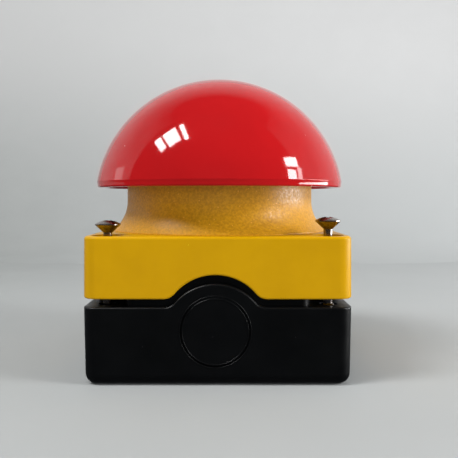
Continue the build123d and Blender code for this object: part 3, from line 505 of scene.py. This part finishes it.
screw_steel = worked_metal("screw_steel", (0.46, 0.42, 0.39), (0.24, 0.20, 0.17), roughness=0.16)
turned_steel = worked_metal("turned_steel", (0.60, 0.60, 0.61), (0.48, 0.48, 0.49), roughness=0.22)
spring_steel = worked_metal("spring_steel", (0.46, 0.46, 0.47), (0.33, 0.32, 0.32), roughness=0.25)
brass = worked_metal("brass", (0.80, 0.58, 0.25), (0.62, 0.42, 0.16), roughness=0.22)
print("made", ", ".join(metal.name for metal in (screw_steel, turned_steel, spring_steel, brass)))

# %% [markdown]
# ## Rubber and the plastics inside
#
# Seals are matt black rubber with a dry, slightly dusty skin. The carrier, the contact blocks, the
# plungers and the bearings are ordinary satin mouldings, so they reuse the casing recipe.

# %% Rubber and inner plastics
seal_rubber = satin_plastic(
    "seal_rubber", (0.028, 0.028, 0.030), (0.018, 0.018, 0.019),
    roughness=0.62, skin_mm=0.5, skin_depth_mm=0.02, dust=0.15,
)


def inner_plastic(name, colour, darker, roughness, skin_depth_mm, skin_mm=0.5):
    """An ordinary satin moulding without dust, because it is shut in."""
    return satin_plastic(name, colour, darker, roughness, skin_mm, skin_depth_mm)


grey_plastic = inner_plastic("grey_plastic", (0.30, 0.31, 0.32), (0.27, 0.28, 0.29), 0.42, 0.01)
block_plastic = inner_plastic("block_plastic", (0.055, 0.056, 0.060), (0.042, 0.043, 0.046), 0.40, 0.01)
red_plunger = inner_plastic("red_plunger", (0.50, 0.025, 0.025), (0.43, 0.02, 0.02), 0.36, 0.008)
green_plunger = inner_plastic("green_plunger", (0.03, 0.30, 0.09), (0.025, 0.26, 0.075), 0.36, 0.008)
bearing_plastic = inner_plastic("bearing_plastic", (0.70, 0.68, 0.61), (0.65, 0.63, 0.56), 0.34, 0.006, 0.6)
print("made", seal_rubber.name, "and five inner plastics")

# %% [markdown]
# ## Dress the frame's own pieces
#
# The record says which finish each node takes, by slot. The shapes are right as they are, so each keeps
# its mesh and only its material changes.

# %% Dress the nodes
FINISHES = {
    "red_shell": red_plastic,
    "yellow_shell": yellow_plastic,
    "yellow_grained": grained_yellow,
    "black_shell": black_plastic,
    "screw_steel": screw_steel,
    "brass": brass,
    "spring_steel": spring_steel,
    "turned_steel": turned_steel,
    "seal_rubber": seal_rubber,
    "grey_plastic": grey_plastic,
    "block_plastic": block_plastic,
    "nc_plunger_plastic": red_plunger,
    "no_plunger_plastic": green_plunger,
    "bearing_plastic": bearing_plastic,
}
slot_of = {part["node"]: part["material_slot"] for part in frame["record"]["subparts"]}
for name, obj in nodes.items():
    if not obj.material_slots:
        obj.data.materials.append(None)
    for material_slot in obj.material_slots:
        material_slot.material = FINISHES[slot_of[name]]
print("dressed", len(nodes), "nodes in", len(FINISHES), "finishes")

# %% [markdown]
# ## The dome as one smooth turned shape
#
# The frame's dome is a fine mesh, but a mirror shows every flat on it. A dome is a turned shape, so the
# lesson turns one outline round the axis in 256 steps: over the top, round the crisp lower edge, down the
# narrow rim band, in under the rim, and back up inside to the hub that holds the stem. Blender's
# Screw modifier could turn a curve in the same way, but a mesh made point by point keeps the crisp edge.

# %% Turning helper
def turned_mesh(name, outline, steps=256):
    """Turns an outline of (radius, height) in millimetres once round the Z axis."""
    turned = bmesh.new()
    rings = []
    for radius, height in outline:
        if radius == 0:
            rings.append([turned.verts.new((0, 0, height * MM))])
            continue
        ring = []
        for i in range(steps):
            angle = math.tau * i / steps
            place = Vector((radius * math.cos(angle), radius * math.sin(angle), height)) * MM
            ring.append(turned.verts.new(place))
        rings.append(ring)
    for first, second in zip(rings, rings[1:]):
        for i in range(steps):
            j = (i + 1) % steps
            corners = [first[i % len(first)], first[j % len(first)]]
            corners += [second[j % len(second)], second[i % len(second)]]
            turned.faces.new(list(dict.fromkeys(corners)))
    return mesh_of(turned, name)


print("helper ready: turned_mesh")

# %% Turn the dome
DOME_R = 47.78
DOME_WALL = 3.0
DOME_EDGE_Z = 66.12
DOME_RIM = (46.78, 63.8)
DOME_MOUTH_R = 43.4
HUB_R = 10.5
HUB_Z = 84.7
INSERT_R = 6.0
INSERT_TOP_Z = 97.2
RIM_ROUND = 0.70

inner_r = DOME_R - DOME_WALL
edge_angle = math.degrees(math.asin((DOME_EDGE_Z - DOME_CENTRE_Z) / DOME_R))
mouth_angle = math.degrees(math.acos(DOME_MOUTH_R / inner_r))
hub_angle = math.degrees(math.acos(HUB_R / inner_r))
outline = [(0, DOME_CENTRE_Z + DOME_R)]
outline += arc((0, DOME_CENTRE_Z), DOME_R, 89.0, edge_angle, 72)
edge_r, edge_z = outline[-1]
outline += [(edge_r + 0.02, edge_z - 0.08), (edge_r - 0.01, edge_z - 0.20)]
outline += arc((DOME_RIM[0] - 0.62, DOME_RIM[1] + RIM_ROUND), RIM_ROUND, 12, -90, 6)
outline += [(DOME_MOUTH_R + 0.05, DOME_RIM[1]), (DOME_MOUTH_R, DOME_RIM[1] + 0.05)]
outline += arc((0, DOME_CENTRE_Z), inner_r, mouth_angle, hub_angle, 40)
outline += [(HUB_R, HUB_Z + 0.05), (HUB_R - 0.05, HUB_Z), (INSERT_R, HUB_Z), (INSERT_R, INSERT_TOP_Z)]
outline += [(0, INSERT_TOP_Z)]
dome_mesh = turned_mesh("polished_dome", outline)
print("dome outline has", len(outline), "points and", len(dome_mesh.polygons), "faces")

# %% [markdown]
# Six ribs stiffen the dome from inside. Each is a thin plate under the curve of the roof, so its outline is
# drawn flat, between the hub and the wall, and given a thickness. They join the turned mesh as they are,
# since all of their tops run a little way into the wall.

# %% Add the ribs
RIB_Z = 85.2
RIB_HALF = 1.0
RIB_TOP_R = inner_r + 0.5
RIB_FOOT_R = HUB_R - 0.3

ribs = bmesh.new()
ribs.from_mesh(dome_mesh)
rib_start = math.degrees(math.asin((RIB_Z - DOME_CENTRE_Z) / RIB_TOP_R))
rib_end = math.degrees(math.acos(RIB_FOOT_R / RIB_TOP_R))
rib_outline = [(RIB_FOOT_R, RIB_Z)] + arc((0, DOME_CENTRE_Z), RIB_TOP_R, rib_start, rib_end, 14)
for k in range(6):
    turn = math.radians(60 * k)
    out = Vector((math.cos(turn), math.sin(turn), 0))
    side = Vector((-math.sin(turn), math.cos(turn), 0)) * RIB_HALF * MM
    faces = []
    for sign in (-1, 1):
        middle = [out * r * MM + Vector((0, 0, z * MM)) for r, z in rib_outline]
        faces.append([ribs.verts.new(point + side * sign) for point in middle])
    ribs.faces.new(faces[0])
    ribs.faces.new(list(reversed(faces[1])))
    count = len(rib_outline)
    for i in range(count):
        j = (i + 1) % count
        ribs.faces.new((faces[0][j], faces[0][i], faces[1][i], faces[1][j]))
ribs.to_mesh(dome_mesh)
ribs.free()
dome = new_object("polished_dome", dome_mesh)
dome.data.materials.append(red_plastic)
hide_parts("dome")
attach(dome, "button")
print("dome with ribs:", len(dome_mesh.polygons), "faces")

# %% [markdown]
# ## Rounded lips on the knock-outs
#
# The groove round each knock-out is cut sharp in the frame, but a moulded groove always has slightly
# rounded lips, and on black plastic those lips are all that shows, as two thin rings. A bevel would have
# to change the frame's mesh, so each lip is a thread of plastic of its own, half sunk in the wall. The
# wall leans by its draft, so the ring leans with it.

# %% Thread helper
def thread_rings(shape, centre_line, radius, ring):
    """Rings of points round a line of (point, first side, second side), in millimetres."""
    loops = []
    for point, first_side, second_side in centre_line:
        loop = []
        for k in range(ring):
            turn = math.tau * k / ring
            around = first_side * math.cos(turn) + second_side * math.sin(turn)
            loop.append(shape.verts.new((point + around * radius) * MM))
        loops.append(loop)
    return loops


def join_rings(shape, first, second):
    """Faces between two rings with as many points."""
    ring = len(first)
    for k in range(ring):
        shape.faces.new((first[k], first[(k + 1) % ring], second[(k + 1) % ring], second[k]))


print("helpers ready: thread_rings, join_rings")

# %% Add the lips
ENTRY_X = -0.7
ENTRY_Z = 17.3
SHOULDER_Z = 25.1
WALL_Y = 43.35
DRAFT = math.tan(math.radians(1.3))
LIP_R = 0.2
LIP_RADII = {"outer": 11.5, "inner": 10.55}


def ring_lip(name, radius, facing, steps=144):
    """A thin ring that lies in the drafted wall, on the side that facing names (-1 is the front)."""
    centre_line = []
    for i in range(steps):
        angle = math.tau * i / steps
        out = Vector((math.cos(angle), 0, math.sin(angle)))
        centre = Vector((ENTRY_X, 0, ENTRY_Z)) + out * radius
        centre.y = facing * (WALL_Y - (SHOULDER_Z - centre.z) * DRAFT - 0.4 * LIP_R)
        centre_line.append((centre, out, Vector((0, 1, 0))))
    lip = bmesh.new()
    loops = thread_rings(lip, centre_line, LIP_R, ring=8)
    for first, second in zip(loops, loops[1:] + loops[:1]):
        join_rings(lip, first, second)
    obj = new_object(name, mesh_of(lip, name))
    obj.data.materials.append(black_plastic)
    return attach(obj, "base")


for side, facing in (("front", -1), ("rear", 1)):
    for place, radius in LIP_RADII.items():
        ring_lip(f"{place}_lip_{side}", radius, facing)
print("lips on each knock-out:", len(LIP_RADII))

# %% [markdown]
# ## Springs wound as coils
#
# The frame's springs are stiff, because a rigid simulation can't shorten them. Here each is wound again
# as a real coil: the turns lie closer together at both ends and are spread between them. A curve with a
# round section could make it too, but only a mesh can be squashed.

# %% Coil shape
def coil_mesh(name, foot, along, length, mean_r, wire_r, turns, steps=28):
    """A coil along an axis whose first and last turns lie flat, in millimetres."""
    along = Vector(along)
    side = Vector((0, 1, 0))
    up = along.cross(side)
    rise = length - 2 * wire_r
    last = int(turns * steps)
    points = []
    radials = []
    for i in range(last + 1):
        share = i / last
        eased = share - math.sin(math.tau * share) / math.tau * 0.55
        angle = math.tau * turns * share
        radials.append(side * math.cos(angle) + up * math.sin(angle))
        points.append(Vector(foot) + along * (wire_r + rise * eased) + radials[-1] * mean_r)
    centre_line = []
    for i in range(last + 1):
        forward = (points[min(i + 1, last)] - points[max(i - 1, 0)]).normalized()
        centre_line.append((points[i], radials[i], forward.cross(radials[i]).normalized()))
    wound = bmesh.new()
    rings = thread_rings(wound, centre_line, wire_r, ring=10)
    for first, second in zip(rings, rings[1:]):
        join_rings(wound, first, second)
    wound.faces.new(list(reversed(rings[0])))
    wound.faces.new(rings[-1])
    return mesh_of(wound, name)


print("helper ready: coil_mesh")

# %% Spring coil for one node
def spring(node_name, body, foot, along, length, mean_r, wire_r, turns):
    """Winds the coil that stands for one spring node."""
    name = node_name + "_coil"
    coil = new_object(name, coil_mesh(name, foot, along, length, mean_r, wire_r, turns))
    coil.data.materials.append(spring_steel)
    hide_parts(node_name)
    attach(coil, body)
    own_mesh(coil)
    return coil


print("helper ready: spring")

# %% Wind the return spring
UPWARDS = (0, 0, 1)
RETURN_SEAT = (0, 0, 74.2)
spring(
    "return_spring", "cover", RETURN_SEAT, UPWARDS,
    length=HUB_Z - RETURN_SEAT[2], mean_r=9.0, wire_r=0.68, turns=3.5,
)
print("return spring stands", round(HUB_Z - RETURN_SEAT[2], 2), "mm long")

# %% Wind the contact and latch springs
BLOCK_X = 10.0
CHAMBER_Z = 9.2
for kind, block_x in (("nc", -BLOCK_X), ("no", BLOCK_X)):
    seat = (block_x, 0, CHAMBER_Z)
    spring(
        f"{kind}_contact_spring", "base", seat, UPWARDS,
        length=7.5, mean_r=2.2, wire_r=0.21, turns=6,
    )

LATCH_Z = 58.75
SLIDER_X = 6.5
SPRING_STOP_X = 15.5
for side, sign in (("left", -1), ("right", 1)):
    foot = (sign * SLIDER_X, 0, LATCH_Z)
    spring(
        f"latch_spring_{side}", "cover", foot, (sign, 0, 0),
        length=SPRING_STOP_X - SLIDER_X, mean_r=1.05, wire_r=0.19, turns=10,
    )
